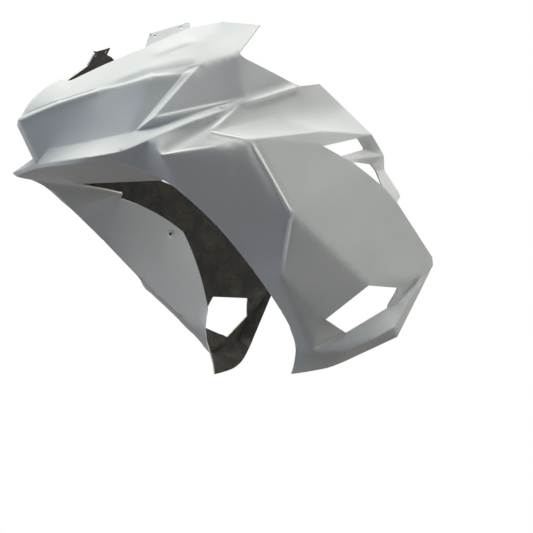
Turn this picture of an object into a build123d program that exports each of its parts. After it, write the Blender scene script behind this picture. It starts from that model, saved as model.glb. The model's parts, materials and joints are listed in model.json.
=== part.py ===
from build123d import *
from math import sqrt
import os

# Motorcycle fairing moulded in one piece: nose, lamp blanks, lip under the nose, both side panels,
# the shelf and flange folded in behind the front edge, and the framed vents.
# x runs out to the rider's left, y to the rear, z up, from midway between the two stay bolts. Millimetres.

wall = 2.5                # thickness of the laminate
screen_hole_dia = 5.2     # screen screws in the tab
stay_hole_dia = 6.5       # bolt through the inner flange
stay_dimple_dia = 13.0    # washer seat round that bolt
stay_dimple_depth = 0.8
screen_hole_at = [(0.10, 0.62), (0.66, 0.59)]   # along the tab, up the tab
stay_hole_at = (0.098, 0.896)                   # up the flange, in from the front edge

# Hard points of the left half. Each one is a corner where panels meet or an edge turns.
points = {
    # nose and lip on the middle plane
    "nose_tip": (0, -394, 142),
    "chin": (0, -357, 78),
    "lip_0": (0, -356, 71),
    "arch_top": (0, -285, 53),
    "intake_0": (0, -317, 220),
    # edge of the opening that takes the screen, back to the peak beside it
    "intake_1": (14, -305, 217),
    "intake_2": (43, -259, 245),
    "screen_1": (86, -209, 273),
    "screen_2": (122, -146, 308),
    "screen_3": (163, -110, 316),
    "peak": (202, -64, 311),
    "notch": (214, -121, 252),
    # tab that the screen is screwed to
    "tab_1": (80, -197, 298),
    "tab_2": (117, -142, 320),
    # soft crease along the top panel
    "crown_1": (120, -220, 247),
    "crown_2": (158, -159, 276),
    # brow over the lamp blank, and the groove line above it
    "brow_1": (49, -344, 171),
    "brow_2": (83, -293, 192),
    "brow_3": (146, -241, 210),
    "brow_4": (170, -194, 218),
    "groove": (140, -237, 220),
    "temple": (185, -171, 235),
    # lower edge of the lamp blank and the valley behind it
    "lamp_0": (14, -344, 102),
    "lamp_1": (75, -302, 112),
    "lamp_2": (126, -270, 121),
    "cheek": (133, -260, 124),
    "cheek_up": (157, -243, 144),
    "valley": (202, -144, 163),
    "plane_low": (210, -100, 185),
    # crest of the lip, running back into the ridge above the side lobe
    "lip_1": (112, -336, 78),
    "lip_2": (142, -291, 89),
    "lip_3": (165, -256, 108),
    "lip_4": (196, -194, 140),
    "ridge_0": (209, -111, 173),
    "ridge_1": (215, 10, 218),
    "ridge_2": (210, 58, 229),
    # lower corner of the lip
    "under_1": (92, -338, 70),
    "under_2": (128, -290, 73),
    # arrow-shaped facets and the main crease down the side
    "arrow_low": (184, -249, 82),
    "arrow_high": (206, -171, 123),
    "facet": (227, -161, 100),
    "crease_0": (240, -116, 113),
    "crease_1": (236, -27, 3),
    "crease_2": (192, -11, -95),
    "crease_3": (166, 46, -153),
    "crease_4": (146, 99, -212),
    # side lobe
    "lobe_1": (215, -44, 161),
    "lobe_2": (208, 118, 195),
    "lobe_low_1": (237, 41, 144),
    "lobe_low_2": (230, 159, 152),
    # rear edge of the side panel
    "rear_0": (239, 39, 119),
    "rear_1": (237, 81, 107),
    "fin_root": (237, 97, 103),
    "rear_2": (236, 107, 100),
    "rear_3": (235, 148, 81),
    "rear_4": (233, 180, 66),
    "rear_5": (232, 200, 54),
    "rear_6": (231, 217, 41),
    "tail_1": (213, 322, -46),
    "tail_2": (211, 326, -60),
    # set-in frame round the two rear slots: window side, crest and outer side
    "slot_0": (232, 124, 142),
    "slot_1": (217, 153, 128),
    "slot_2": (216, 170, 104),
    "slot_3": (216, 182, 94),
    "crest": (222, 165, 134),
    "post_1": (216, 194, 131),
    "post_2": (216, 201, 122),
    "post_3": (217, 201, 97),
    "post_4": (222, 230, 61),
    "post_5": (223, 233, 53),
    # lower vent and the raised rim below it
    "vent_1": (215, 164, -103),
    "vent_2": (203, 245, -103),
    "vent_3": (198, 226, -138),
    "vent_4": (169, 154, -182),
    "vent_5": (177, 100, -161),
    "rim_1": (158, 153, -217),
    "rim_2": (184, 196, -195),
    "rim_3": (205, 234, -172),
    "rim_4": (209, 296, -81),
    "hem_0": (103, 88, -252),
    "hem_1": (126, 150, -241),
    "hem_2": (148, 195, -221),
    "hem_3": (194, 252, -187),
    # front edge round the wheel
    "arch_1": (141, -237, 58),
    "arch_2": (156, -195, 36),
    "arch_3": (162, -121, -17),
    "arch_4": (157, -43, -83),
    "arch_5": (140, 32, -147),
    "arch_6": (123, 81, -202),
    # free edge of the shelf and flange folded in behind it
    "fold_1": (42, -225, 57),
    "fold_2": (83, -166, 61),
    "fold_3": (109, -129, 63),
    "fold_4": (125, -106, 65),
    "fold_5": (125, -110, 56),
    "fold_6": (120, 23, 5),
    "fold_7": (118, 79, -133),
    "fold_8": (116, 66, -168),
}

# Lines that run on as smooth curves through their hard points.
smooth_lines = [
    ["nose_tip", "brow_1", "brow_2"],
    ["chin", "lip_1", "lip_2", "lip_3", "lip_4", "ridge_0"],
    ["lip_0", "under_1", "under_2", "arch_1", "arch_2", "arch_3", "arch_4", "arch_5", "arch_6", "hem_0"],
    ["lamp_0", "lamp_1", "lamp_2"],
    ["hem_0", "hem_1", "hem_2", "hem_3"],
    ["rim_1", "rim_2", "rim_3"],
    ["fold_5", "fold_6", "fold_7"],
]

# Panels of the left half, each named by its corners, anticlockwise as seen from the finished side.
panels = [
    # top of the nose, beside the screen and out to the peak
    ["nose_tip", "brow_1", "intake_1", "intake_0"],
    ["brow_1", "brow_2", "intake_2", "intake_1"],
    ["intake_2", "crown_1", "screen_1"],
    ["brow_2", "groove", "crown_1", "intake_2"],
    ["crown_1", "crown_2", "screen_2", "screen_1"],
    ["groove", "temple", "crown_2", "crown_1"],
    ["crown_2", "screen_3", "screen_2"],
    ["crown_2", "peak", "screen_3"],
    ["temple", "notch", "peak", "crown_2"],
    ["screen_1", "screen_2", "tab_2", "tab_1"],
    # brow, lamp blank and the strip that ends it
    ["brow_2", "brow_3", "groove"],
    ["brow_3", "brow_4", "temple", "groove"],
    ["chin", "lamp_0", "brow_1", "nose_tip"],
    ["lamp_0", "lamp_1", "brow_2", "brow_1"],
    ["lamp_1", "lamp_2", "brow_3", "brow_2"],
    ["lamp_2", "cheek", "brow_4", "brow_3"],
    ["cheek", "cheek_up", "temple", "brow_4"],
    # upper side plane and the valley under it
    ["cheek_up", "plane_low", "notch", "temple"],
    ["plane_low", "ridge_1", "notch"],
    ["cheek", "valley", "plane_low", "cheek_up"],
    # top of the lip and of the ridge
    ["chin", "lip_1", "lamp_1", "lamp_0"],
    ["lip_1", "lip_2", "lamp_2", "lamp_1"],
    ["lip_2", "lip_3", "cheek", "lamp_2"],
    ["lip_3", "lip_4", "valley", "cheek"],
    ["lip_4", "ridge_0", "plane_low", "valley"],
    ["ridge_0", "ridge_1", "plane_low"],
    # blunt edge of the lip
    ["lip_0", "under_1", "lip_1", "chin"],
    ["under_1", "under_2", "lip_2", "lip_1"],
    ["under_2", "arch_1", "lip_3", "lip_2"],
    # arrow facets
    ["arch_1", "arch_2", "arrow_low", "lip_3"],
    ["arrow_low", "ridge_0", "lip_4", "lip_3"],
    ["arrow_low", "arrow_high", "ridge_0"],
    ["arrow_low", "facet", "crease_0", "arrow_high"],
    # side lobe
    ["arrow_high", "lobe_1", "ridge_1", "ridge_0"],
    ["lobe_1", "lobe_2", "ridge_2", "ridge_1"],
    ["arrow_high", "crease_0", "lobe_low_1", "lobe_1"],
    ["lobe_low_1", "lobe_low_2", "lobe_2", "lobe_1"],
    ["rear_0", "slot_0", "lobe_low_1"],
    ["slot_0", "lobe_low_2", "lobe_low_1"],
    # side panel behind the crease
    ["crease_0", "rear_0", "lobe_low_1"],
    ["crease_0", "rear_1", "rear_0"],
    ["crease_0", "fin_root", "rear_1"],
    ["crease_0", "crease_1", "rear_2", "fin_root"],
    ["crease_1", "vent_1", "rear_3", "rear_2"],
    ["vent_1", "rear_4", "rear_3"],
    ["vent_1", "rear_5", "rear_4"],
    ["vent_1", "rim_4", "rear_6", "rear_5"],
    ["rim_4", "tail_2", "tail_1", "rear_6"],
    ["vent_1", "vent_2", "rim_4"],
    ["crease_2", "vent_5", "vent_1", "crease_1"],
    ["crease_3", "vent_5", "crease_2"],
    ["crease_4", "vent_4", "vent_5", "crease_3"],
    # strip in front of the crease
    ["arch_2", "arch_3", "facet", "arrow_low"],
    ["arch_3", "crease_1", "crease_0", "facet"],
    ["arch_4", "crease_2", "crease_1", "arch_3"],
    ["arch_5", "crease_3", "crease_2", "arch_4"],
    ["arch_6", "crease_4", "crease_3", "arch_5"],
    ["hem_0", "hem_1", "crease_4", "arch_6"],
    # lower vent channel and rim
    ["hem_1", "rim_1", "crease_4"],
    ["crease_4", "rim_1", "rim_2", "vent_4"],
    ["vent_4", "rim_2", "rim_3", "vent_3"],
    ["vent_3", "rim_3", "rim_4"],
    ["vent_3", "rim_4", "vent_2"],
    ["hem_1", "hem_2", "rim_2", "rim_1"],
    ["hem_2", "hem_3", "rim_3", "rim_2"],
    ["hem_3", "tail_2", "rim_4", "rim_3"],
    # frame and fin of the rear slots, the upper post first
    ["slot_1", "crest", "lobe_low_2", "slot_0"],
    ["crest", "post_1", "lobe_low_2"],
    ["rear_1", "fin_root", "post_2", "slot_1"],
    ["slot_1", "post_2", "post_1", "crest"],
    ["fin_root", "rear_2", "slot_2", "post_2"],
    ["slot_2", "post_3", "post_2"],
    ["slot_3", "post_3", "slot_2"],
    ["rear_4", "post_3", "slot_3"],
    ["rear_4", "rear_5", "post_4", "post_3"],
    ["rear_5", "rear_6", "post_5", "post_4"],
    # shelf behind the lip and flange behind the front edge
    ["under_1", "lip_0", "arch_top", "fold_1"],
    ["under_2", "under_1", "fold_1", "fold_2"],
    ["arch_1", "under_2", "fold_2", "fold_3"],
    ["arch_2", "arch_1", "fold_3", "fold_4"],
    ["arch_3", "arch_2", "fold_4", "fold_5"],
    ["arch_4", "arch_3", "fold_5", "fold_6"],
    ["arch_5", "arch_4", "fold_6", "fold_7"],
    ["arch_6", "arch_5", "fold_7", "fold_8"],
]

outer = {name: Vector(*xyz) for name, xyz in points.items()}


def flipped(v):
    """The same vector in the mirror of the middle plane."""
    return Vector(-v.X, v.Y, v.Z)


# Middle control point of every edge: halfway for a straight edge, pulled out for a smooth line.
outer_mid = {}
bowed = {frozenset(("nose_tip", "intake_0"))}
for names in panels:
    for a, b in zip(names, names[1:] + names[:1]):
        outer_mid[frozenset((a, b))] = (outer[a] + outer[b]) / 2
for names in smooth_lines:
    run = [outer[n] for n in names]
    before = flipped(run[1]) if run[0].X == 0 and names[0] != "nose_tip" else run[0] * 2 - run[1]
    run = [before] + run + [run[-1] * 2 - run[-2]]
    for i, (a, b) in enumerate(zip(names, names[1:]), start=1):
        lead = run[i] + (run[i + 1] - run[i - 1]) / 6
        trail = run[i + 1] - (run[i + 2] - run[i]) / 6
        outer_mid[frozenset((a, b))] = ((lead + trail) * 3 - run[i] - run[i + 1]) / 4
        bowed.add(frozenset((a, b)))
outer_mid[frozenset(("nose_tip", "intake_0"))] = Vector(0, -368, 196)

# Direction each panel faces at each of its corners.
facing = {name: [] for name in points}
for names in panels:
    across = (outer[names[2]] - outer[names[0]]).cross(outer[names[-1]] - outer[names[1]]).normalized()
    for before, here, after in zip(names[-1:] + names[:-1], names, names[1:] + names[:1]):
        ahead = (outer_mid[frozenset((here, after))] - outer[here]).normalized()
        behind = (outer_mid[frozenset((before, here))] - outer[here]).normalized()
        normal = (ahead.cross(behind) + across * 0.3).normalized()
        facing[here].append(normal)
        if outer[here].X == 0:
            facing[here].append(flipped(normal))

# Each inner point lies one wall under all the panels that meet at its outer point.
inner = {}
for name, normals in facing.items():
    step = Vector(0, 0, 0)
    for _ in range(60):
        for normal in normals:
            step -= normal * (wall + normal.dot(step)) * 0.5
    if outer[name].X == 0:
        step = Vector(0, step.Y, step.Z)
    inner[name] = outer[name] + step
inner_mid = {}
for edge, mid in outer_mid.items():
    a, b = edge
    inner_mid[edge] = mid + (inner[a] - outer[a] + inner[b] - outer[b]) / 2


def patch(names, corner, mid):
    """One panel: flat for three corners, and for four a surface that curves only where its edges do.

    A corner weighs as much as the share of its diagonal past the point where the diagonals cross, so that
    a flat panel is mapped without stretch.
    """
    if len(names) == 3:
        return Face(Wire.make_polygon([corner[n] for n in names], close=True))
    p, q, r, s = (corner[n] for n in names)
    edges = [frozenset(e) for e in zip(names, names[1:] + names[:1])]
    pq, qr, rs, sp = (mid[e] for e in edges)
    centre = (pq + qr + rs + sp) / 2 - (p + q + r + s) / 4
    rows = [[p, sp, s], [pq, centre, rs], [q, qr, r]]
    across = (r - p).cross(s - q)
    pr = (q - p).cross(s - q).dot(across) / across.dot(across)
    qs = (q - p).cross(r - p).dot(across) / across.dot(across)
    wp, wq, wr, ws = (min(max(w, 0.1), 0.9) for w in (1 - pr, 1 - qs, pr, qs))
    weights = [
        [wp, sqrt(wp * ws), ws],
        [sqrt(wp * wq), sqrt(sqrt(wp * wq * wr * ws)), sqrt(wr * ws)],
        [wq, sqrt(wq * wr), wr],
    ]
    if not bowed.intersection(edges[1::2]):
        rows, weights = ([[row[0], row[2]] for row in grid] for grid in (rows, weights))
    if not bowed.intersection(edges[0::2]):
        rows, weights = ([grid[0], grid[2]] for grid in (rows, weights))
    return Face.make_bezier_surface(rows, weights)


def edge_strip(a, b):
    """The cut edge of the laminate between the outer and the inner skin."""
    edge = frozenset((a, b))
    rows = [[outer[a], outer[b]], [inner[a], inner[b]]]
    if edge in bowed:
        rows[0].insert(1, outer_mid[edge])
        rows[1].insert(1, inner_mid[edge])
    return Face.make_bezier_surface(rows)


uses = {}
for names in panels:
    for a, b in zip(names, names[1:] + names[:1]):
        uses.setdefault(frozenset((a, b)), []).append((a, b))
free_edges = [runs[0] for runs in uses.values() if len(runs) == 1]

skin = [patch(names, outer, outer_mid) for names in panels]
skin += [patch(names, inner, inner_mid) for names in panels]
skin += [edge_strip(a, b) for a, b in free_edges]
half = Solid(Shell(skin))

# Screw and bolt holes, each placed by fractions of the panel it goes through.
tab = patch(["screen_1", "screen_2", "tab_2", "tab_1"], outer, outer_mid)
flange = patch(["arch_4", "arch_3", "fold_5", "fold_6"], outer, outer_mid)
screen_spots = [tab.position_at(u, v) for u, v in screen_hole_at]
stay_spot = flange.position_at(*stay_hole_at)

with BuildPart() as fairing:
    add(half)
    with Locations(*[Plane(spot, z_dir=tab.normal_at(spot)) for spot in screen_spots]):
        Hole(radius=screen_hole_dia / 2, depth=2 * wall)
    with Locations(Plane(stay_spot, z_dir=flange.normal_at(stay_spot))):
        CounterBoreHole(
            radius=stay_hole_dia / 2,
            counter_bore_radius=stay_dimple_dia / 2,
            counter_bore_depth=stay_dimple_depth,
            depth=2 * wall,
        )
    mirror(about=Plane.YZ)

fairing.part.label = "fairing"
os.makedirs("parts", exist_ok=True)
export_step(fairing.part, "parts/fairing.step")
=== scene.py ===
import heapq
import json
import math

import bpy
import numpy as np
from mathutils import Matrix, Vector
from mathutils.geometry import delaunay_2d_cdt


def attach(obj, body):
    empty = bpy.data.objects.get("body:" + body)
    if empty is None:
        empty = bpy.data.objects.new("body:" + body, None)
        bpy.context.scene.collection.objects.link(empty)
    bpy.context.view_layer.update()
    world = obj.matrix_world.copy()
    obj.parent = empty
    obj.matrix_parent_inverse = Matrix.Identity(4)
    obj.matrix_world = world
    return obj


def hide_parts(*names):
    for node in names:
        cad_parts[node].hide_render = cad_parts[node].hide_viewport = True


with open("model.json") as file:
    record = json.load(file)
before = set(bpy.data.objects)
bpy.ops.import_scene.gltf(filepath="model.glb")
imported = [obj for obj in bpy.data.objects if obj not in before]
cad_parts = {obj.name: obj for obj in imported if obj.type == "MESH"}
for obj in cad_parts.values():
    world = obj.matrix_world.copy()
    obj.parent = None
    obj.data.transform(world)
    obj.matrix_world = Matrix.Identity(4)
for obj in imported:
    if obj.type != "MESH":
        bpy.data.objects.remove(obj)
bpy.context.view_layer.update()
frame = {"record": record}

mirror = np.array([-1, 1, 1])  # takes a point across the middle plane
millimetre = 0.001      # in the scene's metres

# Sizes of the moulding in millimetres: x to the rider's left, y to the rear, z up, as in the CAD.
wall = 2.5              # laminate
half_width = 239.9      # the relief stays inside the moulding's own width
nose_bow = (0.0, -368.0, 196.0)  # bends the line from the nose's tip to the screen's opening
screw_border = 2.0      # flat ring round a screw hole in the screen tab
dimple_radius = 6.5     # washer seat round the stay bolt
dimple_depth = 0.8
dimple_slope = 0.6      # half width of the seat's sloping side
dimple_border = 3.0     # flat ring round the seat

# The groove that runs beside the brow, on top of the nose.
groove_depth = 2.0
groove_width = 1.0      # half width, and the spacing of the mesh points where it crosses a line
groove_from_brow = 9.2
groove_fade = (60, 15)  # fading length at each end

# A bead lies in a shallow moat: its depth and width as multiples of the bead's height and width.
moat_depth = 0.5
moat_width = 2.5

# The mesh, in millimetres.
pitch = 5.2             # spacing of the mesh points on a large panel
fine_pitch = 2.0        # the same on a narrow panel
brow_pitch = 3.0        # the same on the top of the nose, where the groove runs
hold_rows = (1.3, 3.0)  # rows of mesh points beside a crisp fold
bead_rows = (0.9, 2.0, 3.2, 4.8, 6.8)            # the same beside a crisp fold that carries a bead
groove_rows = (7.6, 8.4, 9.2, 10.0, 10.8, 12.2)  # further rows for the groove
row_room = 1.2          # a row keeps this many times its own distance clear of the panel's other edges
point_gap = 0.7         # least distance of a row's point from any other point
step_room = 0.6         # share of the spacing that inner points keep clear of edges, rows and holes
hole_sides = 24         # mesh points round a hole
hole_share = 0.97       # share of a hole's radius within which no triangle has its middle

# Rounding and shading.
crisp = 8.0             # a fold rounded less than this gets rows on both sides
seam_blend = 36.0       # rounding where a line only divides one smooth panel
spread = 0.45           # how fast the rounding may widen with the distance from a fold
cut_edge_blend = 2.0    # rounding of the corners of a trimmed edge
smoothing_rate = 0.7    # how far a point goes towards its neighbours' mean in one turn
normals_kept = 4        # turns after which the normals are found again
sharp_fold = 72         # degrees between two faces from which their edge is shaded crisp

# The studio, in metres.
floor_level = -1.1
floor_half = 9.0
white_from = 1.3        # distance from the origin at which the floor begins to turn white
white_to = 2.2          # and at which it is white
# Soft lamps: name, place, the spot they point at, size, power in watts and colour.
lamps = [
    ("overhead_softbox", (0.3, -0.1, 2.0), (0, 0, 0), 2.0, 64.0, "#FFFDF6"),
    ("rear_left_softbox", (1.6, 1.7, 0.6), (0, 0.1, 0.05), 1.6, 28.0, "#FFFEF8"),
    ("front_right_softbox", (-0.6, -2.3, 0.5), (0, -0.1, 0), 1.6, 15.0, "#F6F9FF"),
    ("front_fill", (0.7, -2.2, -0.5), (0, -0.1, 0), 1.6, 8.0, "#C4D8FF"),
]

# Hard points of the left half, the same as the solid's.
points = {
    # nose and lip on the middle plane
    "nose_tip": (0, -394, 142),
    "chin": (0, -357, 78),
    "lip_0": (0, -356, 71),
    "arch_top": (0, -285, 53),
    "intake_0": (0, -317, 220),
    # edge of the opening that takes the screen, back to the peak beside it
    "intake_1": (14, -305, 217),
    "intake_2": (43, -259, 245),
    "screen_1": (86, -209, 273),
    "screen_2": (122, -146, 308),
    "screen_3": (163, -110, 316),
    "peak": (202, -64, 311),
    "notch": (214, -121, 252),
    # tab that the screen is screwed to
    "tab_1": (80, -197, 298),
    "tab_2": (117, -142, 320),
    # soft crease along the top panel
    "crown_1": (120, -220, 247),
    "crown_2": (158, -159, 276),
    # brow over the lamp blank, and the groove line above it
    "brow_1": (49, -344, 171),
    "brow_2": (83, -293, 192),
    "brow_3": (146, -241, 210),
    "brow_4": (170, -194, 218),
    "groove": (140, -237, 220),
    "temple": (185, -171, 235),
    # lower edge of the lamp blank and the valley behind it
    "lamp_0": (14, -344, 102),
    "lamp_1": (75, -302, 112),
    "lamp_2": (126, -270, 121),
    "cheek": (133, -260, 124),
    "cheek_up": (157, -243, 144),
    "valley": (202, -144, 163),
    "plane_low": (210, -100, 185),
    # crest of the lip, running back into the ridge above the side lobe
    "lip_1": (112, -336, 78),
    "lip_2": (142, -291, 89),
    "lip_3": (165, -256, 108),
    "lip_4": (196, -194, 140),
    "ridge_0": (209, -111, 173),
    "ridge_1": (215, 10, 218),
    "ridge_2": (210, 58, 229),
    # lower corner of the lip
    "under_1": (92, -338, 70),
    "under_2": (128, -290, 73),
    # arrow-shaped facets and the main crease down the side
    "arrow_low": (184, -249, 82),
    "arrow_high": (206, -171, 123),
    "facet": (227, -161, 100),
    "crease_0": (240, -116, 113),
    "crease_1": (236, -27, 3),
    "crease_2": (192, -11, -95),
    "crease_3": (166, 46, -153),
    "crease_4": (146, 99, -212),
    # side lobe
    "lobe_1": (215, -44, 161),
    "lobe_2": (208, 118, 195),
    "lobe_low_1": (237, 41, 144),
    "lobe_low_2": (230, 159, 152),
    # rear edge of the side panel
    "rear_0": (239, 39, 119),
    "rear_1": (237, 81, 107),
    "fin_root": (237, 97, 103),
    "rear_2": (236, 107, 100),
    "rear_3": (235, 148, 81),
    "rear_4": (233, 180, 66),
    "rear_5": (232, 200, 54),
    "rear_6": (231, 217, 41),
    "tail_1": (213, 322, -46),
    "tail_2": (211, 326, -60),
    # set-in frame round the two rear slots: window side, crest and outer side
    "slot_0": (232, 124, 142),
    "slot_1": (217, 153, 128),
    "slot_2": (216, 170, 104),
    "slot_3": (216, 182, 94),
    "crest": (222, 165, 134),
    "post_1": (216, 194, 131),
    "post_2": (216, 201, 122),
    "post_3": (217, 201, 97),
    "post_4": (222, 230, 61),
    "post_5": (223, 233, 53),
    # lower vent and the raised rim below it
    "vent_1": (215, 164, -103),
    "vent_2": (203, 245, -103),
    "vent_3": (198, 226, -138),
    "vent_4": (169, 154, -182),
    "vent_5": (177, 100, -161),
    "rim_1": (158, 153, -217),
    "rim_2": (184, 196, -195),
    "rim_3": (205, 234, -172),
    "rim_4": (209, 296, -81),
    "hem_0": (103, 88, -252),
    "hem_1": (126, 150, -241),
    "hem_2": (148, 195, -221),
    "hem_3": (194, 252, -187),
    # front edge round the wheel
    "arch_1": (141, -237, 58),
    "arch_2": (156, -195, 36),
    "arch_3": (162, -121, -17),
    "arch_4": (157, -43, -83),
    "arch_5": (140, 32, -147),
    "arch_6": (123, 81, -202),
    # free edge of the shelf and flange folded in behind it
    "fold_1": (42, -225, 57),
    "fold_2": (83, -166, 61),
    "fold_3": (109, -129, 63),
    "fold_4": (125, -106, 65),
    "fold_5": (125, -110, 56),
    "fold_6": (120, 23, 5),
    "fold_7": (118, 79, -133),
    "fold_8": (116, 66, -168),
}

# Shifts of hard points that the solid leaves out. Round the lower vent they turn its channel up, and the
# last one moves the lower end of the flange back.
no_shift = (0.0, 0.0, 0.0)
shifts = {
    "vent_2": (3.1, -2.6, -0.3),
    "vent_3": (-4.6, 3.8, 0.5),
    "vent_4": (-3.8, 3.2, 0.4),
    "crease_4": (-1.5, 1.3, 0.2),
    "rim_1": (3.1, -2.6, -0.3),
    "rim_2": (4.6, -3.8, -0.5),
    "rim_3": (4.6, -3.8, -0.5),
    "hem_0": (4.6, -3.8, 0.0),
    "hem_1": (4.6, -3.8, -0.5),
    "hem_2": (4.6, -3.8, -0.5),
    "hem_3": (4.6, -3.8, -0.5),
    "fold_8": (0.0, 4.0, 0.0),
}

# Lines that run on as smooth curves through their hard points.
smooth_lines = [
    ["nose_tip", "brow_1", "brow_2"],
    ["chin", "lip_1", "lip_2", "lip_3", "lip_4", "ridge_0"],
    ["lip_0", "under_1", "under_2", "arch_1", "arch_2", "arch_3", "arch_4", "arch_5", "arch_6", "hem_0"],
    ["lamp_0", "lamp_1", "lamp_2"],
    ["hem_0", "hem_1", "hem_2", "hem_3"],
    ["rim_1", "rim_2", "rim_3"],
    ["fold_5", "fold_6", "fold_7"],
]

# Panels of the left half, each named by its corners, anticlockwise as seen from the finished side.
panels = [
    # top of the nose, beside the screen and out to the peak
    ["nose_tip", "brow_1", "intake_1", "intake_0"],
    ["brow_1", "brow_2", "intake_2", "intake_1"],
    ["intake_2", "crown_1", "screen_1"],
    ["brow_2", "groove", "crown_1", "intake_2"],
    ["crown_1", "crown_2", "screen_2", "screen_1"],
    ["groove", "temple", "crown_2", "crown_1"],
    ["crown_2", "screen_3", "screen_2"],
    ["crown_2", "peak", "screen_3"],
    ["temple", "notch", "peak", "crown_2"],
    # brow, lamp blank and the strip that ends it
    ["brow_2", "brow_3", "groove"],
    ["brow_3", "brow_4", "temple", "groove"],
    ["chin", "lamp_0", "brow_1", "nose_tip"],
    ["lamp_0", "lamp_1", "brow_2", "brow_1"],
    ["lamp_1", "lamp_2", "brow_3", "brow_2"],
    ["lamp_2", "cheek", "brow_4", "brow_3"],
    # upper side plane and the valley under it
    ["cheek_up", "plane_low", "notch", "temple"],
    ["plane_low", "ridge_1", "notch"],
    # top of the lip and of the ridge
    ["chin", "lip_1", "lamp_1", "lamp_0"],
    ["lip_1", "lip_2", "lamp_2", "lamp_1"],
    ["lip_2", "lip_3", "cheek", "lamp_2"],
    ["lip_3", "lip_4", "valley", "cheek"],
    ["lip_4", "ridge_0", "plane_low", "valley"],
    ["ridge_0", "ridge_1", "plane_low"],
    # blunt edge of the lip
    ["lip_0", "under_1", "lip_1", "chin"],
    ["under_1", "under_2", "lip_2", "lip_1"],
    ["under_2", "arch_1", "lip_3", "lip_2"],
    # arrow facets
    ["arch_1", "arch_2", "arrow_low", "lip_3"],
    ["arrow_low", "ridge_0", "lip_4", "lip_3"],
    ["arrow_low", "arrow_high", "ridge_0"],
    ["arrow_low", "facet", "crease_0", "arrow_high"],
    # side lobe
    ["arrow_high", "lobe_1", "ridge_1", "ridge_0"],
    ["lobe_1", "lobe_2", "ridge_2", "ridge_1"],
    ["arrow_high", "crease_0", "lobe_low_1", "lobe_1"],
    ["lobe_low_1", "lobe_low_2", "lobe_2", "lobe_1"],
    ["rear_0", "slot_0", "lobe_low_1"],
    ["slot_0", "lobe_low_2", "lobe_low_1"],
    # side panel behind the crease
    ["crease_0", "rear_0", "lobe_low_1"],
    ["crease_0", "rear_1", "rear_0"],
    ["crease_0", "fin_root", "rear_1"],
    ["crease_0", "crease_1", "rear_2", "fin_root"],
    ["crease_1", "vent_1", "rear_3", "rear_2"],
    ["vent_1", "rear_4", "rear_3"],
    ["vent_1", "rear_5", "rear_4"],
    ["vent_1", "rim_4", "rear_6", "rear_5"],
    ["rim_4", "tail_2", "tail_1", "rear_6"],
    ["vent_1", "vent_2", "rim_4"],
    ["crease_2", "vent_5", "vent_1", "crease_1"],
    ["crease_3", "vent_5", "crease_2"],
    ["crease_4", "vent_4", "vent_5", "crease_3"],
    # strip in front of the crease
    ["arch_2", "arch_3", "facet", "arrow_low"],
    ["arch_3", "crease_1", "crease_0", "facet"],
    ["arch_4", "crease_2", "crease_1", "arch_3"],
    ["arch_5", "crease_3", "crease_2", "arch_4"],
    ["arch_6", "crease_4", "crease_3", "arch_5"],
    ["hem_0", "hem_1", "crease_4", "arch_6"],
    # lower vent channel and rim
    ["hem_1", "rim_1", "crease_4"],
    ["crease_4", "rim_1", "rim_2", "vent_4"],
    ["vent_4", "rim_2", "rim_3", "vent_3"],
    ["hem_1", "hem_2", "rim_2", "rim_1"],
    ["hem_2", "hem_3", "rim_3", "rim_2"],
    ["hem_3", "tail_2", "rim_4", "rim_3"],
    # shelf behind the lip and flange behind the front edge
    ["under_1", "lip_0", "arch_top", "fold_1"],
    ["under_2", "under_1", "fold_1", "fold_2"],
    ["arch_1", "under_2", "fold_2", "fold_3"],
    ["arch_2", "arch_1", "fold_3", "fold_4"],
    ["arch_3", "arch_2", "fold_4", "fold_5"],
    ["arch_4", "arch_3", "fold_5", "fold_6"],
    ["arch_5", "arch_4", "fold_6", "fold_7"],
    ["arch_6", "arch_5", "fold_7", "fold_8"],
]

# Narrow panels that are meshed finely: the screen tab, the strip behind the lamp blank, the valley beside
# it, the panels behind the lower vent and the rear frame.
fine_panels = [
    ["screen_1", "screen_2", "tab_2", "tab_1"],
    ["cheek", "cheek_up", "temple", "brow_4"],
    ["cheek", "valley", "plane_low", "cheek_up"],
    ["vent_3", "rim_3", "rim_4"],
    ["vent_3", "rim_4", "vent_2"],
    ["slot_1", "crest", "lobe_low_2", "slot_0"],
    ["crest", "post_1", "lobe_low_2"],
    ["rear_1", "fin_root", "post_2", "slot_1"],
    ["slot_1", "post_2", "post_1", "crest"],
    ["fin_root", "rear_2", "slot_2", "post_2"],
    ["slot_2", "post_3", "post_2"],
    ["slot_3", "post_3", "slot_2"],
    ["rear_4", "post_3", "slot_3"],
    ["rear_4", "rear_5", "post_4", "post_3"],
    ["rear_5", "rear_6", "post_5", "post_4"],
]

# Panels on top of the nose, which come first.
brow_panels = panels[:4]
# Panels with bolt holes.
screen_tab = ["screen_1", "screen_2", "tab_2", "tab_1"]
stay_panel = ["arch_4", "arch_3", "fold_5", "fold_6"]
# The strip that is painted paler all over as a highlight, and how far.
highlight_panel = ["cheek", "cheek_up", "temple", "brow_4"]
highlight_share = 0.6
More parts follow.
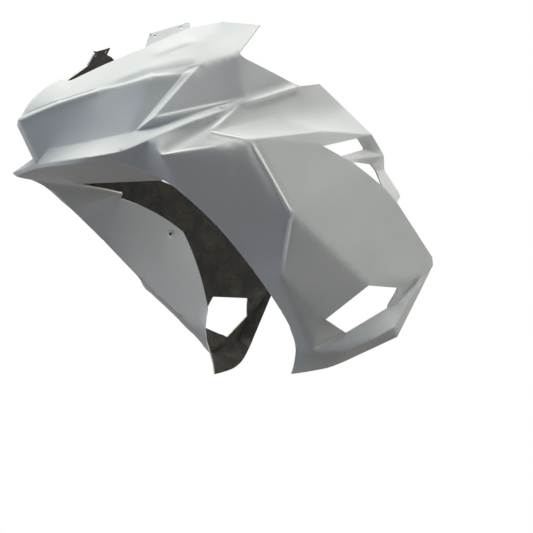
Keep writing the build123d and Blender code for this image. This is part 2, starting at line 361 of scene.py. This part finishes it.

# Raised beads that the mould left along a fold, and valleys where the height is negative: height before
# the moat is taken off, half width, half width of a pale band painted on as a highlight, fading length at
# each end and the line. A line on the middle plane is raised from both halves.
beads = [
    (1.8, 3.5, 5.5, 2, 6, ["nose_tip", "chin"]),
    (1.6, 6.0, 0, 10, 40, ["nose_tip", "brow_1", "brow_2", "brow_3"]),
    (-5.0, 9.0, 0, 40, 20, ["brow_2", "groove", "temple"]),
    (2.6, 2.6, 2.6, 12, 60, ["cheek_up", "plane_low"]),
    (-5.0, 9.0, 0, 15, 40, ["arrow_low", "ridge_0"]),
    (2.4, 2.6, 2.6, 8, 50, ["arrow_low", "facet"]),
    (2.4, 2.6, 3.0, 10, 20, ["arrow_high", "crease_0"]),
    (4.0, 7.0, 2.5, 12, 30, ["arrow_high", "ridge_0"]),
    (3.4, 3.0, 4.4, 20, 12, ["crease_0", "crease_1"]),
    (2.6, 2.6, 2.6, 12, 50, ["crease_1", "crease_2"]),
    (6.5, 7.0, 5.0, 30, 15, ["ridge_0", "ridge_1"]),
    (-5.0, 7.0, 0, 8, 24, ["crease_4", "vent_4"]),
    (-4.0, 6.0, 0, 25, 15, ["vent_3", "rim_4"]),
]

# Panels that swell or sink beside a line: slope at the line, how far it reaches, fading length at each
# end, the line and the panels.
swells = [
    (0.55, 22.0, 60, 60, ["arrow_low", "facet", "crease_0", "crease_1"],
     [["arch_2", "arch_3", "facet", "arrow_low"], ["arch_3", "crease_1", "crease_0", "facet"]]),
    (0.60, 10.0, 15, 15, ["crown_1", "crown_2"],
     [["crown_1", "crown_2", "screen_2", "screen_1"], ["intake_2", "crown_1", "screen_1"],
      ["crown_2", "screen_3", "screen_2"], ["crown_2", "peak", "screen_3"]]),
    (-0.55, 12.0, 8, 20, ["arrow_high", "ridge_0", "ridge_1"],
     [["arrow_high", "lobe_1", "ridge_1", "ridge_0"]]),
    (-0.60, 9.0, 12, 15, ["vent_2", "rim_4"],
     [["vent_3", "rim_4", "vent_2"], ["vent_3", "rim_3", "rim_4"]]),
]

# Corners of the trimmed edge that are rounded more than the rest.
round_corners = {"notch": 16, "tail_1": 4, "tail_2": 4, "tab_1": 9, "tab_2": 6, "fold_8": 12, "arch_6": 12}

# Rounding of the moulded folds, in millimetres across the fold; a pair is the rounding at the line's two
# ends. A line that isn't here only divides a panel.
folds = [
    (10, ["nose_tip", "intake_0"]),
    (7, ["nose_tip", "chin"]),
    (7.5, ["nose_tip", "brow_1", "brow_2", "brow_3"]),
    (5, ["brow_3", "brow_4"]),
    (5, ["brow_2", "groove", "temple"]),
    (18, ["crown_1", "crown_2"]),
    (11, ["crown_2", "peak"]),
    (4, ["screen_1", "screen_2"]),
    (10, ["temple", "notch"]),
    (2.5, ["temple", "brow_4", "cheek"]),
    (2.5, ["temple", "cheek_up", "cheek"]),
    (22, ["lamp_2", "brow_3"]),
    (5, ["chin", "lamp_0"]),
    (6, ["lamp_0", "lamp_1", "lamp_2", "cheek"]),
    (4, ["cheek_up", "plane_low", "ridge_1"]),
    (7, ["cheek", "valley", "plane_low"]),
    (6, ["chin", "lip_1", "lip_2", "lip_3", "lip_4", "ridge_0", "ridge_1"]),
    (5, ["lip_0", "under_1", "under_2", "arch_1"]),
    (5, ["arch_1", "arch_2", "arch_3", "arch_4", "arch_5", "arch_6", "hem_0"]),
    (12, ["lip_3", "arrow_low"]),
    (14, ["arrow_low", "ridge_0"]),
    (5, ["arrow_high", "ridge_0"]),
    (10, ["arrow_low", "arrow_high"]),
    ((4, 36), ["arrow_low", "facet"]),
    ((36, 8), ["facet", "crease_0"]),
    (3.5, ["arrow_high", "crease_0"]),
    (5, ["crease_0", "crease_1", "crease_2"]),
    (20, ["crease_2", "crease_3", "crease_4"]),
    (14, ["arrow_high", "lobe_1"]),
    (22, ["lobe_1", "lobe_2"]),
    (5, ["crease_0", "lobe_low_1", "lobe_low_2"]),
    (10, ["crease_1", "vent_1"]),
    (5, ["rim_4", "tail_2"]),
    (5, ["crease_4", "vent_4"]),
    (6, ["rim_1", "rim_2", "rim_3", "rim_4"]),
    (4, ["vent_3", "rim_4", "vent_2"]),
    (14, ["crease_4", "hem_1", "rim_1"]),
    (8, ["hem_3", "rim_3"]),
    (6, ["arch_2", "fold_4"]),
    (10, ["arch_3", "fold_5"]),
    (4, ["crest", "lobe_low_2", "slot_0"]),
    (4, ["slot_1", "crest", "post_1"]),
    (4, ["slot_1", "post_2", "fin_root"]),
    (4, ["post_2", "slot_2", "post_3", "slot_3"]),
    (4, ["slot_3", "post_3", "rear_4"]),
    (3, ["rear_1", "fin_root", "rear_2"]),
    (3, ["rear_4", "rear_5", "rear_6"]),
    (3, ["rear_5", "post_4"]),
]


def linear(code):
    """A hex sRGB colour as linear RGBA."""
    channels = [int(code[i:i + 2], 16) / 255 for i in (1, 3, 5)]
    return [c / 12.92 if c <= 0.04045 else ((c + 0.055) / 1.055) ** 2.4 for c in channels] + [1.0]


def links(names):
    """The lines that join hard points which follow one another, whichever way they run."""
    return [frozenset(ends) for ends in zip(names, names[1:])]


def panel_pitch(names):
    """Spacing of the mesh points on one panel."""
    if names in fine_panels:
        return fine_pitch
    return brow_pitch if names in brow_panels else pitch


def spaced(length, step):
    """Middles of the steps that fit into a length, as shares of it."""
    count = round(length / step)
    return (np.arange(count) + 0.5) / count


def quadratic(t):
    """Weights of a quadratic curve's three control points."""
    return np.array([(1 - t) ** 2, 2 * t * (1 - t), t ** 2])


def inside(spot, ring):
    """Whether a spot on a flat chart lies within a closed ring of spots."""
    after = np.roll(ring, -1, axis=0)
    crossed = (ring[:, 1] > spot[1]) != (after[:, 1] > spot[1])
    rise = np.where(crossed, after[:, 1] - ring[:, 1], 1.0)
    at = ring[:, 0] + (spot[1] - ring[:, 1]) * (after[:, 0] - ring[:, 0]) / rise
    return np.count_nonzero(crossed & (at > spot[0])) % 2 == 1


class Chart:
    """One panel laid flat, to be filled with triangles."""

    def __init__(self, ring, place):
        rim = np.array([place[i] for i in ring])
        after = np.roll(rim, -1, axis=0)
        normal = np.cross(rim - rim.mean(0), after - rim.mean(0)).sum(0)
        self.normal = normal / np.linalg.norm(normal)
        right = rim[len(rim) // 3] - rim[0]
        right -= self.normal * right.dot(self.normal)
        self.right = right / np.linalg.norm(right)
        self.up = np.cross(self.normal, self.right)
        self.origin = rim[0]
        self.index = list(ring)                     # mesh points
        self.spots = [self.flat(x) for x in rim]    # where they lie on the chart
        self.outline = np.array(self.spots)
        self.edges = [(i, (i + 1) % len(ring)) for i in range(len(ring))]  # kept by the triangles

    def flat(self, x):
        return np.array([np.dot(x - self.origin, self.right), np.dot(x - self.origin, self.up)])

    def add(self, point, spot):
        self.index.append(point)
        self.spots.append(spot)


class Skin:
    """The finished face of the left half as a mesh of triangles, filled panel by panel."""

    def __init__(self):
        self.corner = {name: np.array(xyz) + shifts.get(name, no_shift) for name, xyz in points.items()}
        self.place = []           # positions of the mesh points
        self.fixed = set()        # points that smoothing leaves where they are
        self.faces = []
        self.runs = {}            # mesh points along each line, from its first name to its second
        self.named = {}           # mesh point at each hard point
        self.mid = {}             # control point that bends each line
        self.spacing = {}         # spacing of the mesh points along each line
        self.crisp_lines = {line for rounding, names in folds if np.min(rounding) < crisp
                            for line in links(names)}
        self.bead_lines = {line for bead in beads for line in links(bead[-1])}
        self.brow_top = set()     # mesh points on top of the nose
        self.swollen = [set() for _ in swells]
        self.pale = set()         # mesh points on the strip that is painted pale as a highlight
        for names in panels + fine_panels:
            for a, b in self.lines(names):
                line = frozenset((a, b))
                self.mid[line] = (self.corner[a] + self.corner[b]) / 2
                self.spacing[line] = min(panel_pitch(names), self.spacing.get(line, pitch))
        self.spacing[frozenset(("brow_1", "intake_1"))] = groove_width  # the groove crosses this line
        for names in smooth_lines:
            self.bow(names)
        self.mid[frozenset(("nose_tip", "intake_0"))] = np.array(nose_bow)

    @staticmethod
    def lines(names):
        """A panel's edges, each as its first and its last hard point."""
        return list(zip(names, names[1:] + names[:1]))

    def bow(self, names):
        """Pulls the middles of a smooth line's stretches out, so that each runs on into the next."""
        run = [self.corner[n] for n in names]
        # A line from the middle plane runs on into its mirror image, except at the pointed tip of the nose.
        if run[0][0] == 0 and names[0] != "nose_tip":
            before = run[1] * mirror
        else:
            before = run[0] * 2 - run[1]
        run = [before] + run + [run[-1] * 2 - run[-2]]
        for i, line in enumerate(links(names), start=1):
            lead = run[i] + (run[i + 1] - run[i - 1]) / 6
            trail = run[i + 1] - (run[i + 2] - run[i]) / 6
            self.mid[line] = ((lead + trail) * 3 - run[i] - run[i + 1]) / 4

    def point(self, xyz):
        self.place.append(np.array(xyz, float))
        return len(self.place) - 1

    def run(self, a, b):
        """Mesh points from corner a to corner b, both included."""
        if (b, a) in self.runs:
            return self.runs[(b, a)][::-1]
        if (a, b) not in self.runs:
            for n in (a, b):
                if n not in self.named:
                    self.named[n] = self.point(self.corner[n])
            line = frozenset((a, b))
            p, m, q = self.corner[a], self.mid[line], self.corner[b]
            count = max(2, round(np.linalg.norm(q - p) / self.spacing[line]))
            between = [p * (1 - t) ** 2 + m * 2 * t * (1 - t) + q * t ** 2
                       for t in np.arange(1, count) / count]
            self.runs[(a, b)] = [self.named[a]] + [self.point(x) for x in between] + [self.named[b]]
        return self.runs[(a, b)]

    def path(self, names):
        """Mesh points along a line through several hard points."""
        return [i for a, b in zip(names, names[1:]) for i in self.run(a, b)]

    def inner_points(self, names, step):
        """Points spread over the inside of a panel, about one step apart."""
        c = [self.corner[n] for n in names]
        if len(names) == 3:
            long_side = max(np.linalg.norm(self.corner[a] - self.corner[b]) for a, b in self.lines(names))
            count = max(3, round(long_side / step))
            t = np.arange(1, count) / count
            return [c[0] + (c[1] - c[0]) * u + (c[2] - c[0]) * v for u in t for v in t if u + v < 1]
        m = [self.mid[frozenset(ends)] for ends in self.lines(names)]
        centre = sum(m) / 2 - sum(c) / 4
        net = np.array([[c[0], m[3], c[3]], [m[0], centre, m[2]], [c[1], m[1], c[2]]])
        across = max(np.linalg.norm(m[3] - m[1]), step)
        along = max(np.linalg.norm(m[0] - m[2]), step)
        return [np.einsum("i,ijk,j->k", quadratic(u), net, quadratic(v))
                for u in spaced(across, step) for v in spaced(along, step)]

    def add_hole(self, chart, centre, axis, rings):
        """Adds the rings of mesh points round a hole to a chart."""
        side = np.cross(axis, [0, 0, 1.0])
        side /= np.linalg.norm(side)
        up = np.cross(axis, side)
        for radius, depth in rings:
            first = len(chart.index)
            for turn in np.arange(hole_sides) * 2 * math.pi / hole_sides:
                x = centre + radius * (math.cos(turn) * side + math.sin(turn) * up)
                chart.add(self.point(x - axis * depth), chart.flat(x))
                self.fixed.add(chart.index[-1])
            chart.edges += [(first + i, first + (i + 1) % hole_sides) for i in range(hole_sides)]

    def add_rows(self, chart, names, a, b):
        """Adds rows of mesh points beside one crisp line of a panel."""
        rows = hold_rows
        if frozenset((a, b)) in self.bead_lines:
            rows = bead_rows + groove_rows if names in brow_panels else bead_rows
        own = set(self.run(a, b))
        others = np.array([spot for i, spot in zip(chart.index, chart.outline) if i not in own])
        run = np.array([self.place[i] for i in self.run(a, b)])
        inward = np.cross(chart.normal, run[2:] - run[:-2])
        inward /= np.linalg.norm(inward, axis=1)[:, None]
        for row in rows:
            room = groove_width if row in groove_rows else row_room * row
            for x in run[1:-1] + inward * row:
                spot = chart.flat(x)
                clear = np.linalg.norm(np.array(chart.spots) - spot, axis=1).min() > point_gap
                clear &= np.linalg.norm(others - spot, axis=1).min() > room
                if clear and inside(spot, chart.outline):
                    chart.add(self.point(x), spot)

    def fill(self, names, holes=()):
        """Fills one panel with triangles; a hole is (centre, axis, rings of (radius, depth))."""
        step = panel_pitch(names)
        chart = Chart([i for a, b in self.lines(names) for i in self.run(a, b)[:-1]], self.place)
        for hole in holes:
            self.add_hole(chart, *hole)
        for a, b in self.lines(names):
            if frozenset((a, b)) in self.crisp_lines:
                self.add_rows(chart, names, a, b)
        taken = np.array(chart.spots)
        room = step_room * step
        for x in self.inner_points(names, step):
            if any(np.linalg.norm(x - centre) < rings[-1][0] + room for centre, _, rings in holes):
                continue
            spot = chart.flat(x)
            if np.linalg.norm(taken - spot, axis=1).min() > room and inside(spot, chart.outline):
                chart.add(self.point(x), spot)
        if names in brow_panels:
            self.brow_top.update(chart.index)
        # points of the strip that gets a painted highlight
        if names == highlight_panel:
            self.pale.update(chart.index)
        for swell, members in zip(swells, self.swollen):
            if names in swell[-1]:
                members.update(chart.index)
        inner_triangles, merge_distance = 1, 1e-5
        spots = [Vector(spot) for spot in chart.spots]
        found = delaunay_2d_cdt(spots, chart.edges, [], inner_triangles, merge_distance)
        triangles, sources = found[2], found[3]
        for triangle in triangles:
            corners = [sources[i][0] for i in triangle]
            middle = sum(chart.spots[i] for i in corners) / 3
            if not any(np.linalg.norm(middle - chart.flat(centre)) < rings[0][0] * hole_share
                       for centre, _, rings in holes):
                self.faces.append([chart.index[i] for i in corners])


def bolt_holes():
    """Centre, axis and radius of the left half's holes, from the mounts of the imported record."""
    found = {}
    for mount in frame["record"]["mounts"]:
        if mount["name"].endswith("_left"):
            axis = np.array(mount["axis"], float)
            axis /= np.linalg.norm(axis)
            centre = np.array(mount["pos_m"]) * 1000 + axis * mount["dims"]["length_mm"] / 2
            found[mount["name"]] = (centre, axis, mount["dims"]["r_mm"])
    return found


def filled_skin():
    """The left half, with the holes in the screen tab and the stay bolt's hole in its washer dimple."""
    holes = bolt_holes()
    screws = []
    for name in ("screen_hole_front_left", "screen_hole_rear_left"):
        centre, axis, radius = holes[name]
        screws.append((centre, axis, [(radius, 0.0), (radius + screw_border, 0.0)]))
    centre, axis, radius = holes["stay_hole_left"]
    stay = (centre + axis * dimple_depth, axis,
            [(radius, dimple_depth), (dimple_radius - dimple_slope, dimple_depth),
             (dimple_radius + dimple_slope, 0.0), (dimple_radius + dimple_border, 0.0)])
    skin = Skin()
    for names in panels + fine_panels:
        if names == screen_tab:
            skin.fill(names, screws)
        else:
            skin.fill(names, [stay] if names == stay_panel else [])
    return skin


def fold_rounding(skin):
    """Rounding at each mesh point that lies on a fold; where folds meet, the smallest counts."""
    found = {}
    for radius, names in folds:
        start, end = radius if isinstance(radius, tuple) else (radius, radius)
        for a, b in zip(names, names[1:]):
            run = skin.run(a, b)
            for i, r in zip(run, np.linspace(start, end, len(run))):
                found[i] = min(r, found.get(i, r))
    return found


def spread_rounding(place, pairs, length, line_rounding):
    """Rounding at every mesh point: that of the folds near it, wider the further away they are."""
    near = [[] for _ in place]
    for (a, b), d in zip(pairs, length):
        near[a].append((b, d))
        near[b].append((a, d))
    radius = np.full(len(place), seam_blend)
    queue = []
    for i, r in line_rounding.items():
        radius[i] = r
        queue.append((r, i))
    heapq.heapify(queue)
    while queue:
        r, i = heapq.heappop(queue)
        if r > radius[i]:
            continue
        for j, step in near[i]:
            wider = r + spread * step
            if wider < radius[j]:
                radius[j] = wider
                heapq.heappush(queue, (wider, j))
    return radius


def smoothed(place, faces, line_rounding, corner_rounding, fixed):
    """Rounds the folds: a point is averaged with its neighbours, less often the nearer it is to a crisp fold.

    Also gives the edges on the rim, along which the laminate is trimmed.
    """
    tri = np.array(faces)
    pairs = np.sort(np.concatenate([tri[:, [0, 1]], tri[:, [1, 2]], tri[:, [2, 0]]]), axis=1)
    pairs, uses = np.unique(pairs, axis=0, return_counts=True)
    trimmed = uses == 1
    length = np.linalg.norm(place[pairs[:, 0]] - place[pairs[:, 1]], axis=1)
    on_rim = np.zeros(len(place), bool)
    on_rim[pairs[trimmed]] = True

    radius = spread_rounding(place, pairs, length, line_rounding)
    radius[on_rim] = cut_edge_blend
    for i, r in corner_rounding.items():
        radius[on_rim & (np.linalg.norm(place - place[i], axis=1) < r)] = r
    both = np.concatenate([pairs, pairs[:, ::-1]])
    reach = np.bincount(both[:, 0], np.concatenate([length, length])) / np.bincount(both[:, 0])
    turns = np.rint((radius / 2 / reach) ** 2 / (smoothing_rate / 2)).astype(int)
    turns[list(fixed)] = 0

    # A point on the rim is averaged with its neighbours on the rim only.
    keep = ~on_rim[both[:, 0]] | np.concatenate([trimmed, trimmed])
    here, there = both[keep, 0], both[keep, 1]
    share = np.bincount(here, minlength=len(place))[:, None]
    for k in range(turns.max()):
        if k % normals_kept == 0:
            normal = facing_of(place, tri)
        sums = [np.bincount(here, place[there, axis], len(place)) for axis in range(3)]
        step = np.stack(sums, axis=1) / share - place
        out = (step * normal).sum(1)[:, None] * normal
        move = turns > k
        place[move] += smoothing_rate * np.where(on_rim[:, None], step, out)[move]
    return place, pairs[trimmed]


def facing_of(place, tri):
    """Direction of the finished side at each mesh point."""
    cross = np.cross(place[tri[:, 1]] - place[tri[:, 0]], place[tri[:, 2]] - place[tri[:, 0]])
    normal = np.zeros_like(place)
    for k in range(3):
        np.add.at(normal, tri[:, k], cross)
    return normal / np.linalg.norm(normal, axis=1)[:, None]


def beside(place, line, first, last):
    """Distance of every mesh point from a line, and a share that fades out towards the line's two ends."""
    away = np.full(len(place), np.inf)
    reached = np.zeros(len(place))
    gone = 0.0
    for a, b in zip(line[:-1], line[1:]):
        step = b - a
        length = np.linalg.norm(step)
        t = np.clip((place - a) @ step / max(length ** 2, 1e-9), 0, 1)
        gap = np.linalg.norm(place - a - t[:, None] * step, axis=1)
        nearer = gap < away
        away[nearer] = gap[nearer]
        reached[nearer] = gone + t[nearer] * length
        gone += length
    return away, np.clip(reached / first, 0, 1) * np.clip((gone - reached) / last, 0, 1)


def relieved(place, faces, lines, grooves, brow_top, swelling):
    """Raises beads and swells and sinks the groove above the brow; also how far each point is painted pale as
    a highlight.
    """
    normal = facing_of(place, np.array(faces))
    lift = np.zeros(len(place))
    painted_highlight = np.zeros(len(place))
    for height, width, pale, first, last, line in lines:
        away, fade = beside(place, place[line], first, last)
        lift += height * fade * (np.exp(-(away / width) ** 2)
                                 - moat_depth * np.exp(-(away / width / moat_width) ** 2))
        if pale:
            # painted highlight: a pale band along the bead
            painted_highlight = np.maximum(painted_highlight, fade * np.exp(-(away / pale) ** 4))
    for line in grooves:
        away, fade = beside(place, place[line], *groove_fade)
        sunk = groove_depth * fade * np.exp(-((away - groove_from_brow) / groove_width) ** 2)
        lift[brow_top] -= sunk[brow_top]
    for slope, reach, first, last, line, members in swelling:
        away, fade = beside(place, place[line], first, last)
        lift[members] += (slope * fade * away * np.exp(-away / reach))[members]
    place = place + normal * lift[:, None]
    place[:, 0] = np.clip(place[:, 0], -half_width, half_width)
    return place, painted_highlight


def thick_piece(place, faces, rim, painted_highlight):
    """The object: the finished face, the raw face one wall behind it and the cut edge between them."""
    back = place - facing_of(place, np.array(faces)) * wall
    total = len(place)
    directed = {(a, b) for f in faces for a, b in zip(f, f[1:] + f[:1])}
    strips = []
    for a, b in rim:
        if (a, b) not in directed:
            a, b = b, a
        strips.append([b, a, a + total, b + total])
    inner = [[c + total, b + total, a + total] for a, b, c in faces]
    mesh = bpy.data.meshes.new("fairing_moulding")
    corners = np.concatenate([place, back]) * millimetre
    mesh.from_pydata(corners.tolist(), [], [list(map(int, f)) for f in faces + inner + strips])
    kinds = [0] * len(faces) + [1] * len(inner) + [2] * len(strips)
    mesh.polygons.foreach_set("material_index", kinds)
    mesh.polygons.foreach_set("use_smooth", [True] * len(kinds))
    # painted highlight, kept per mesh point for the gelcoat's colour
    highlight_attribute = mesh.attributes.new("painted_highlight", "FLOAT", "POINT")
    highlight_attribute.data.foreach_set("value", np.concatenate([painted_highlight, np.zeros(total)]))
    mesh.update()
    mesh.set_sharp_from_angle(angle=math.radians(sharp_fold))
    piece = bpy.data.objects.new("fairing_moulding", mesh)
    bpy.context.scene.collection.objects.link(piece)
    return piece


def moulding():
    """The whole fairing: the left half is mirrored, rounded, given its relief and made thick."""
    skin = filled_skin()
    left = np.array(skin.place)
    off_plane = np.abs(left[:, 0]) > 1e-6
    twin = np.arange(len(left))
    twin[off_plane] = len(left) + np.arange(off_plane.sum())
    place = np.concatenate([left, left[off_plane] * mirror])
    faces = skin.faces + [[twin[c], twin[b], twin[a]] for a, b, c in skin.faces]

    def with_twins(values):
        """Values at mesh points of the left half, and the same ones at their twins."""
        return {**values, **{twin[i]: value for i, value in values.items()}}

    corners = {skin.named[n]: r for n, r in round_corners.items()}
    fixed = skin.fixed | {twin[i] for i in skin.fixed}
    place, rim = smoothed(place, faces, with_twins(fold_rounding(skin)), with_twins(corners), fixed)

    lines = [(*size, skin.path(names)) for *size, names in beads]
    lines += [(*size, twin[line]) for *size, line in lines]
    brow = skin.path(["nose_tip", "brow_1", "brow_2"])
    brow_top = sorted(skin.brow_top | {twin[i] for i in skin.brow_top})
    swelling = [(*size, skin.path(names), sorted(members))
                for (*size, names, _), members in zip(swells, skin.swollen)]
    swelling += [(*size, twin[line], twin[members]) for *size, line, members in swelling]
    place, painted_highlight = relieved(place, faces, lines, [brow, twin[brow]], brow_top, swelling)
    # painted highlight over the whole strip behind the lamp blank
    strip = sorted(skin.pale)
    painted_highlight[strip] = highlight_share
    painted_highlight[twin[strip]] = highlight_share
    return thick_piece(place, faces, rim, painted_highlight)


def add_node(tree, kind, inputs=None, **settings):
    """Adds a node with its settings; an input is a value, or a socket to link from."""
    node = tree.nodes.new(kind)
    for name, value in settings.items():
        setattr(node, name, value)
    for name, value in (inputs or {}).items():
        if isinstance(value, bpy.types.NodeSocket):
            tree.links.new(value, node.inputs[name])
        else:
            node.inputs[name].default_value = value
    return node


def new_material(name):
    """An empty material and its nodes, with the coordinates of the object that it is on."""
    material = bpy.data.materials.new(name)
    material.use_nodes = True
    tree = material.node_tree
    tree.nodes.clear()
    return material, tree, add_node(tree, "ShaderNodeTexCoord").outputs["Object"]


def per_metre(millimetres):
    """Texture scale for a feature of that size, where coordinates are in metres."""
    return 1000.0 / millimetres


def noise(tree, where, size, detail, distortion=0.0):
    """Noise with features about that many millimetres across."""
    node = add_node(tree, "ShaderNodeTexNoise", {"Vector": where, "Scale": per_metre(size), "Detail": detail,
                                                 "Distortion": distortion})
    return node.outputs["Fac"]


def two_tones(tree, amount, low, dark, high, light):
    """Colour that goes from dark to light while an amount goes from low to high."""
    ramp = add_node(tree, "ShaderNodeValToRGB", {"Fac": amount})
    for stop, position, colour in zip(ramp.color_ramp.elements, (low, high), (dark, light)):
        stop.position = position
        stop.color = linear(colour)
    return ramp.outputs["Color"]


def bump(tree, height, strength, distance):
    """Normal of a surface that is uneven by up to that many millimetres."""
    node = add_node(tree, "ShaderNodeBump", {"Height": height, "Strength": strength,
                                             "Distance": distance * millimetre})
    return node.outputs["Normal"]


def add_surface(tree, inputs):
    """Ends a material's nodes in a surface."""
    surface = add_node(tree, "ShaderNodeBsdfPrincipled", inputs)
    add_node(tree, "ShaderNodeOutputMaterial", {"Surface": surface.outputs["BSDF"]})


def satin_gelcoat():
    """Sprayed polyester gelcoat, sanded matt: faint clouding, pale bands painted on as highlights, orange
    peel.
    """
    material, tree, where = new_material("satin_gelcoat")
    tone = two_tones(tree, noise(tree, where, 90, 3.0), 0.3, "#C6CACA", 0.7, "#CDD0CE")
    # painted highlight: the tone is mixed toward near-white along the beads and over the strip behind the
    # lamp blank
    painted_highlight = add_node(tree, "ShaderNodeAttribute", attribute_name="painted_highlight").outputs["Fac"]
    tone_with_highlight = add_node(tree, "ShaderNodeMixRGB", {"Fac": painted_highlight, "Color1": tone, "Color2": linear("#EEF0ED")})
    sanding = noise(tree, where, 25, 6.0)
    rough = add_node(tree, "ShaderNodeMapRange", {"Value": sanding, "To Min": 0.58, "To Max": 0.7})
    peel = bump(tree, noise(tree, where, 2.2, 2.0), 0.06, 0.4)
    add_surface(tree, {"Base Color": tone_with_highlight.outputs["Color"], "Roughness": rough.outputs["Result"],
                       "Normal": peel, "IOR": 1.5, "Specular IOR Level": 0.25})
    return material


def raw_laminate():
    """Back of hand-laid glass mat in dark resin: mottled near-black, lighter along the strands."""
    material, tree, where = new_material("raw_laminate")
    pools = noise(tree, where, 38, 5.0, distortion=0.8)
    strands = add_node(tree, "ShaderNodeTexVoronoi", {"Vector": where, "Scale": per_metre(5)},
                       feature="DISTANCE_TO_EDGE")
    thread = add_node(tree, "ShaderNodeMapRange", {"Value": strands.outputs["Distance"], "From Max": 0.12,
                                                   "To Min": 0.18, "To Max": 0.0})
    added = add_node(tree, "ShaderNodeMath", {0: pools, 1: thread.outputs["Result"]}, operation="ADD")
    amount = added.outputs["Value"]
    rough = add_node(tree, "ShaderNodeMapRange", {"Value": pools, "To Min": 0.5, "To Max": 0.85})
    add_surface(tree, {"Base Color": two_tones(tree, amount, 0.42, "#080807", 0.95, "#45413A"),
                       "Roughness": rough.outputs["Result"], "Normal": bump(tree, amount, 0.5, 0.8),
                       "IOR": 1.5, "Specular IOR Level": 0.15})
    return material


def trimmed_edge():
    """Sawn and sanded edge of the laminate: dry, pale tan, streaked by the glass layers."""
    material, tree, where = new_material("trimmed_edge")
    layers = noise(tree, where, 3, 4.0)
    add_surface(tree, {"Base Color": two_tones(tree, layers, 0.35, "#BFB9AC", 0.65, "#E2DFD6"),
                       "Roughness": 0.75, "Normal": bump(tree, layers, 0.3, 0.4)})
    return material


def seen_directly(tree):
    """1 for rays from the camera and for those that metal or glass pass on, else 0."""
    path = add_node(tree, "ShaderNodeLightPath")
    found = path.outputs["Is Camera Ray"]
    for kind in ("Is Glossy Ray", "Is Transmission Ray"):
        larger = add_node(tree, "ShaderNodeMath", {0: found, 1: path.outputs[kind]}, operation="MAXIMUM")
        found = larger.outputs["Value"]
    return found


def pale_floor():
    """A floor of pale paper that throws a greyer light back, and turns white away from the part."""
    sides = ((-1, -1), (1, -1), (1, 1), (-1, 1))
    corners = [(x * floor_half, y * floor_half, floor_level) for x, y in sides]
    mesh = bpy.data.meshes.new("floor")
    mesh.from_pydata(corners, [], [(0, 1, 2, 3)])
    floor = bpy.data.objects.new("floor", mesh)
    bpy.context.scene.collection.objects.link(floor)
    material, tree, where = new_material("pale_floor")
    direct = seen_directly(tree)
    sheet = add_node(tree, "ShaderNodeMixRGB", {"Fac": direct, "Color1": linear("#857F77"),
                                                "Color2": linear("#E6E3DE")})
    paper = add_node(tree, "ShaderNodeBsdfDiffuse", {"Color": sheet.outputs["Color"]})
    glow = add_node(tree, "ShaderNodeEmission", {"Color": linear("#FFFFFF"), "Strength": 1.0})
    away = add_node(tree, "ShaderNodeVectorMath", {0: where}, operation="LENGTH")
    sweep = add_node(tree, "ShaderNodeMapRange", {"Value": away.outputs["Value"],
                                                  "From Min": white_from, "From Max": white_to})
    share = add_node(tree, "ShaderNodeMath", {0: direct, 1: sweep.outputs["Result"]}, operation="MULTIPLY")
    mix = add_node(tree, "ShaderNodeMixShader", {0: share.outputs["Value"], 1: paper.outputs["BSDF"],
                                                 2: glow.outputs["Emission"]})
    add_node(tree, "ShaderNodeOutputMaterial", {"Surface": mix.outputs["Shader"]})
    mesh.materials.append(material)


def surroundings():
    """A room that looks white and gives a weak bluish light."""
    world = bpy.data.worlds.new("studio")
    bpy.context.scene.world = world
    world.use_nodes = True
    tree = world.node_tree
    tree.nodes.clear()
    room = add_node(tree, "ShaderNodeBackground", {"Color": linear("#D2DDEC"), "Strength": 0.10})
    white = add_node(tree, "ShaderNodeBackground", {"Color": linear("#FFFFFF"), "Strength": 1.0})
    mix = add_node(tree, "ShaderNodeMixShader", {0: seen_directly(tree), 1: room.outputs["Background"],
                                                 2: white.outputs["Background"]})
    add_node(tree, "ShaderNodeOutputWorld", {"Surface": mix.outputs["Shader"]})


def add_lamp(name, at, aim, size, power, colour):
    """A square soft lamp that points at a spot."""
    lamp = bpy.data.lights.new(name, "AREA")
    lamp.shape = "SQUARE"
    lamp.size = size
    lamp.energy = power
    lamp.color = linear(colour)[:3]
    light = bpy.data.objects.new(name, lamp)
    light.location = at
    light.rotation_euler = (Vector(aim) - Vector(at)).to_track_quat("-Z", "Y").to_euler()
    bpy.context.scene.collection.objects.link(light)


def photo_camera():
    """The photograph's view: from the front left, a little below the middle of the fairing."""
    azimuth, elevation = math.radians(50), math.radians(-4.5)
    distance, focal_px, frame_px, sensor = 2.6, 1456.0, 533.0, 36.0
    aim = Vector((0, 0.119, -0.060))
    away = Vector((math.sin(azimuth) * math.cos(elevation), -math.cos(azimuth) * math.cos(elevation),
                   math.sin(elevation)))
    camera = bpy.data.cameras.new("photo_camera")
    camera.sensor_width = sensor
    camera.lens = sensor * focal_px / frame_px
    view = bpy.data.objects.new("photo_camera", camera)
    view.location = aim + away * distance
    view.rotation_euler = (-away).to_track_quat("-Z", "Y").to_euler()
    bpy.context.scene.collection.objects.link(view)
    bpy.context.scene.camera = view


fairing = moulding()
for material in (satin_gelcoat(), raw_laminate(), trimmed_edge()):
    fairing.data.materials.append(material)
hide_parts("fairing")
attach(fairing, "root")
pale_floor()
surroundings()
for lamp in lamps:
    add_lamp(*lamp)
photo_camera()
bpy.context.scene.view_settings.view_transform = "Standard"
